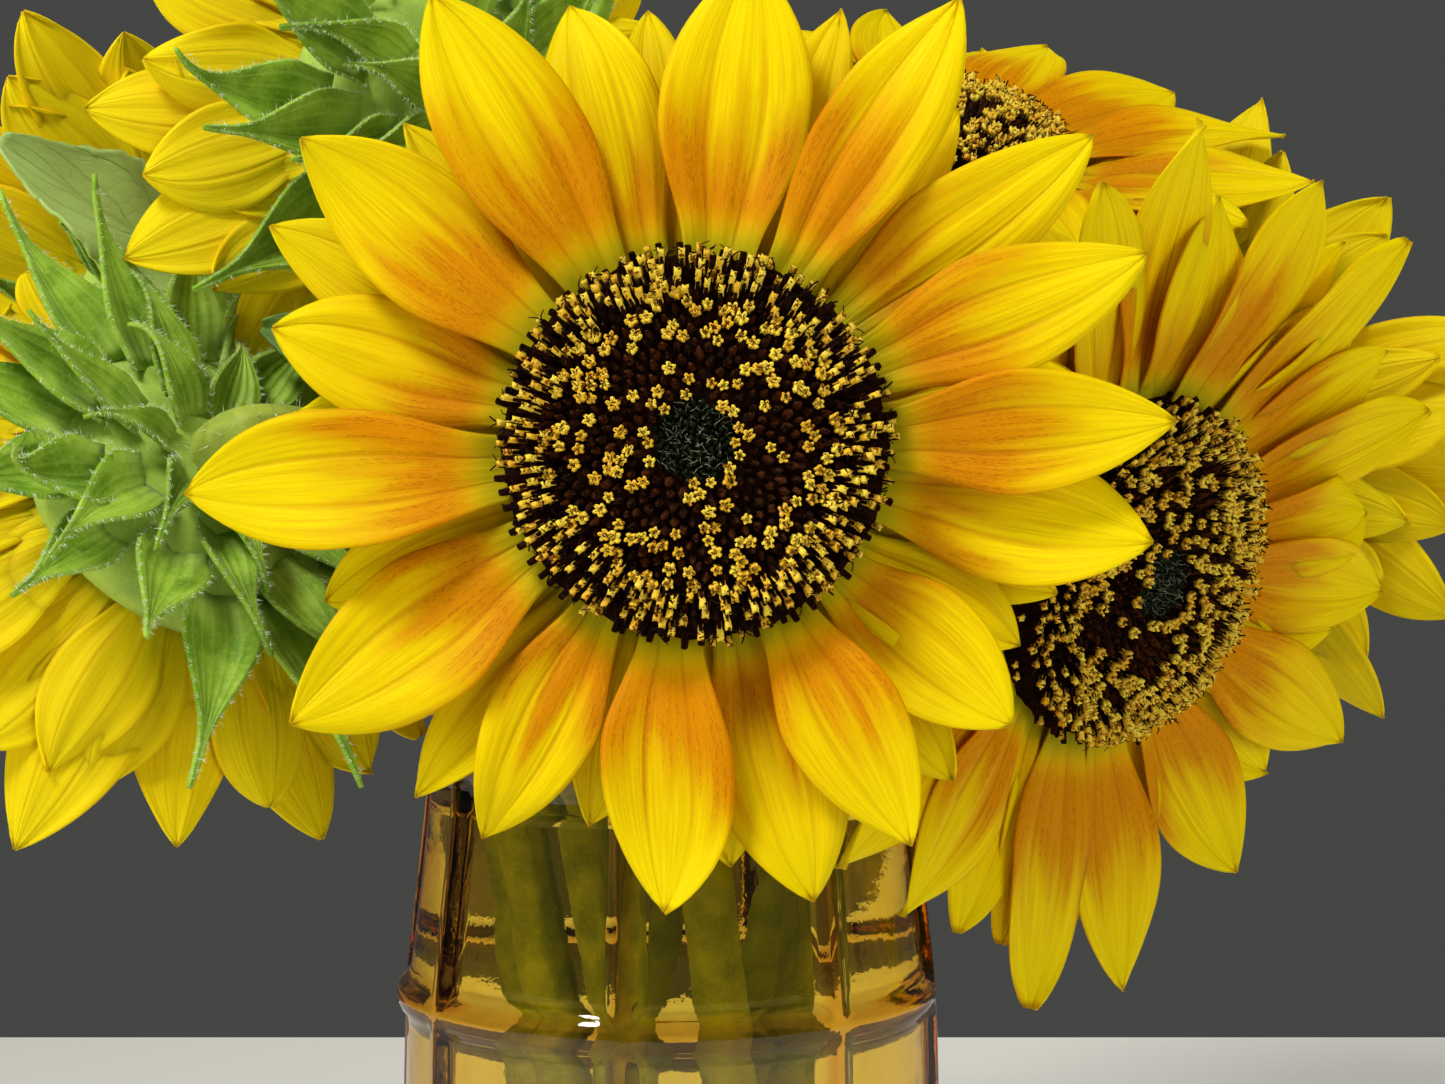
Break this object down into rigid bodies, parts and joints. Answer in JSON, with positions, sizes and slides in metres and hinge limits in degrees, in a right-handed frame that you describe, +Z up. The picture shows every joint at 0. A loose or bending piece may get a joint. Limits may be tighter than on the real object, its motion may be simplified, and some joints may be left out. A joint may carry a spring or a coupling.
{
  "type": "bunch of sunflowers",
  "caption": "Bunch of cut sunflowers with long rays and dark discs, standing in a tapered pressed-glass vase of water.",
  "frame": {"origin": "centre of the vase's flat base, on the surface it stands on", "axes": "+Z up along the vase's axis; the front flower faces -Y; +X is to its viewer's right"},
  "size_m": [0.297, 0.1944, 0.2807],
  "materials": {
    "amber_glass": "gloss",
    "vase_water": "gloss",
    "stem_green": "satin",
    "bract_green": "satin",
    "leaf_green": "satin",
    "ray_yellow": "satin",
    "disc_brown": "matte"
  },
  "bodies": {
    "root": {"vase": "amber_glass", "water": "vase_water", "front_flower_stem": "stem_green", "front_flower_involucre": "bract_green", "front_flower_disc": "disc_brown", "right_flower_stem": "stem_green", "right_flower_involucre": "bract_green", "right_flower_disc": "disc_brown", "right_flower_rays": "ray_yellow", "upper_right_flower_stem": "stem_green", "upper_right_flower_involucre": "bract_green", "upper_right_flower_disc": "disc_brown", "upper_right_flower_rays": "ray_yellow", "back_flower_stem": "stem_green", "back_flower_involucre": "bract_green", "back_flower_disc": "disc_brown", "back_flower_rays": "ray_yellow", "lower_left_flower_stem": "stem_green", "lower_left_flower_involucre": "bract_green", "lower_left_flower_disc": "disc_brown", "lower_left_flower_rays": "ray_yellow", "upper_left_flower_stem": "stem_green", "upper_left_flower_involucre": "bract_green", "upper_left_flower_disc": "disc_brown", "upper_left_flower_rays": "ray_yellow", "far_left_flower_stem": "stem_green", "far_left_flower_involucre": "bract_green", "far_left_flower_disc": "disc_brown", "far_left_flower_rays": "ray_yellow", "front_flower_ray_01": "ray_yellow", "front_flower_ray_02": "ray_yellow", "front_flower_ray_03": "ray_yellow", "front_flower_ray_04": "ray_yellow", "front_flower_ray_05": "ray_yellow", "front_flower_ray_06": "ray_yellow", "front_flower_ray_07": "ray_yellow", "front_flower_ray_08": "ray_yellow", "front_flower_ray_09": "ray_yellow", "front_flower_ray_10": "ray_yellow", "front_flower_ray_11": "ray_yellow", "front_flower_ray_12": "ray_yellow", "front_flower_ray_13": "ray_yellow", "front_flower_ray_14": "ray_yellow", "front_flower_ray_15": "ray_yellow", "front_flower_ray_16": "ray_yellow", "front_flower_ray_17": "ray_yellow", "front_flower_ray_18": "ray_yellow", "front_flower_ray_19": "ray_yellow", "front_flower_ray_20": "ray_yellow", "front_flower_ray_21": "ray_yellow", "front_flower_ray_22": "ray_yellow", "front_flower_ray_23": "ray_yellow", "front_flower_ray_24": "ray_yellow", "front_flower_ray_25": "ray_yellow", "leaf_far_left": "leaf_green", "leaf_left": "leaf_green", "leaf_lower_left": "leaf_green", "leaf_back": "leaf_green", "leaf_right": "leaf_green", "leaf_back_right": "leaf_green"}
  },
  "joints": []
}
